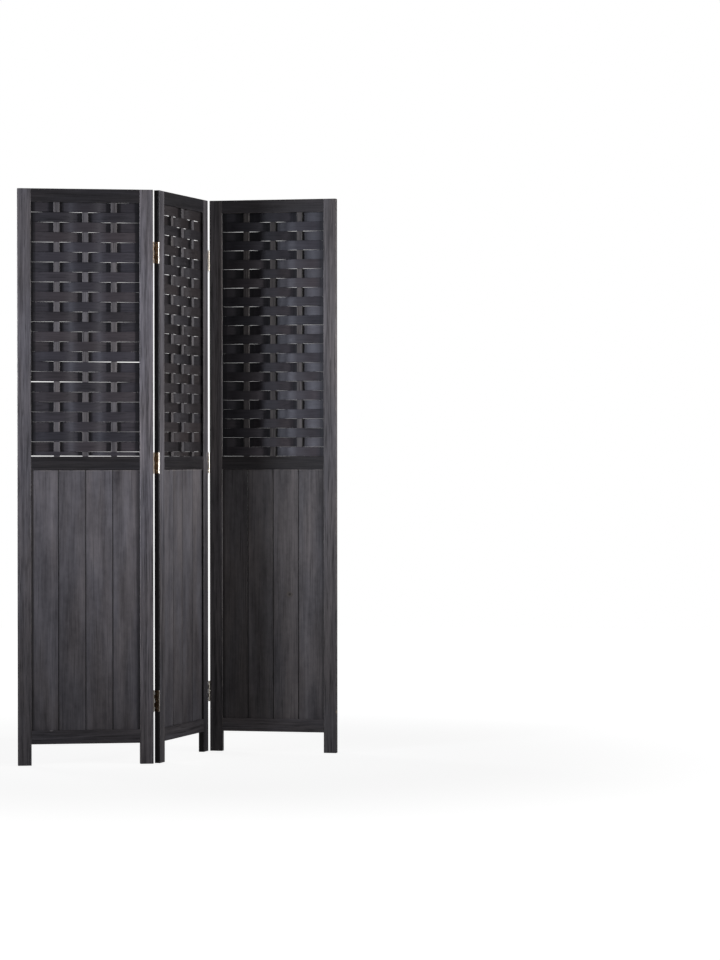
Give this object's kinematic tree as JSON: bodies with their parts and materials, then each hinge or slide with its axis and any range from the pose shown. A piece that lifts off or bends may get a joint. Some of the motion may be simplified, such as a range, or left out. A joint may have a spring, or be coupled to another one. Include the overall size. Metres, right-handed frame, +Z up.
{
  "type": "folding screen",
  "caption": "Freestanding folding room screen of dark stained wood: hinged framed panels, each with a woven slat field above and upright boards below.",
  "frame": {"origin": "centre of the footprint of the half-folded screen, on the floor", "axes": "+Z up, +X along the left panel towards the middle one, -Y out of the left panel's front face"},
  "size_m": [0.9864, 0.3862, 1.7],
  "materials": {
    "stile_wood": "dark stain, open grain, satin",
    "rail_wood": "dark stain, open grain, satin",
    "board_wood": "dark stain, open grain, satin",
    "batten_wood": "dark stain, open grain, satin",
    "slat_wood": "dark stain, satin",
    "dowel_wood": "bare",
    "hinge_brass": "polished",
    "screw_brass": "polished",
    "pin_steel": "satin"
  },
  "bodies": {
    "middle_panel": {"left_joint_right_leaves": "hinge_brass", "left_joint_right_screws": "screw_brass", "middle_panel_board_1": "board_wood", "middle_panel_board_2": "board_wood", "middle_panel_board_3": "board_wood", "middle_panel_board_4": "board_wood", "middle_panel_bottom_rail": "rail_wood", "middle_panel_centre_batten": "batten_wood", "middle_panel_dowels": "dowel_wood", "middle_panel_even_slats": "slat_wood", "middle_panel_left_batten": "batten_wood", "middle_panel_left_stile": "stile_wood", "middle_panel_middle_rail": "rail_wood", "middle_panel_odd_slats": "slat_wood", "middle_panel_right_batten": "batten_wood", "middle_panel_right_stile": "stile_wood", "middle_panel_top_rail": "rail_wood", "right_joint_left_leaves": "hinge_brass", "right_joint_left_screws": "screw_brass"},
    "left_panel": {"left_joint_left_leaves": "hinge_brass", "left_joint_left_screws": "screw_brass", "left_joint_pins": "pin_steel", "left_panel_board_1": "board_wood", "left_panel_board_2": "board_wood", "left_panel_board_3": "board_wood", "left_panel_board_4": "board_wood", "left_panel_bottom_rail": "rail_wood", "left_panel_centre_batten": "batten_wood", "left_panel_dowels": "dowel_wood", "left_panel_even_slats": "slat_wood", "left_panel_left_batten": "batten_wood", "left_panel_left_stile": "stile_wood", "left_panel_middle_rail": "rail_wood", "left_panel_odd_slats": "slat_wood", "left_panel_right_batten": "batten_wood", "left_panel_right_stile": "stile_wood", "left_panel_top_rail": "rail_wood"},
    "right_panel": {"right_joint_pins": "pin_steel", "right_joint_right_leaves": "hinge_brass", "right_joint_right_screws": "screw_brass", "right_panel_board_1": "board_wood", "right_panel_board_2": "board_wood", "right_panel_board_3": "board_wood", "right_panel_board_4": "board_wood", "right_panel_bottom_rail": "rail_wood", "right_panel_centre_batten": "batten_wood", "right_panel_dowels": "dowel_wood", "right_panel_even_slats": "slat_wood", "right_panel_left_batten": "batten_wood", "right_panel_left_stile": "stile_wood", "right_panel_middle_rail": "rail_wood", "right_panel_odd_slats": "slat_wood", "right_panel_right_batten": "batten_wood", "right_panel_right_stile": "stile_wood", "right_panel_top_rail": "rail_wood"}
  },
  "joints": [
    {"name": "left_fold", "type": "hinge", "parent": "middle_panel", "child": "left_panel", "pos_m": [-0.09136, -0.17391, 0.85], "axis": [0, 0, -1], "range_deg": [-63, 117]},
    {"name": "right_fold", "type": "hinge", "parent": "middle_panel", "child": "right_panel", "pos_m": [0.11058, 0.17617, 0.85], "axis": [0, 0, -1], "range_deg": [-83.5, 96.5]}
  ]
}
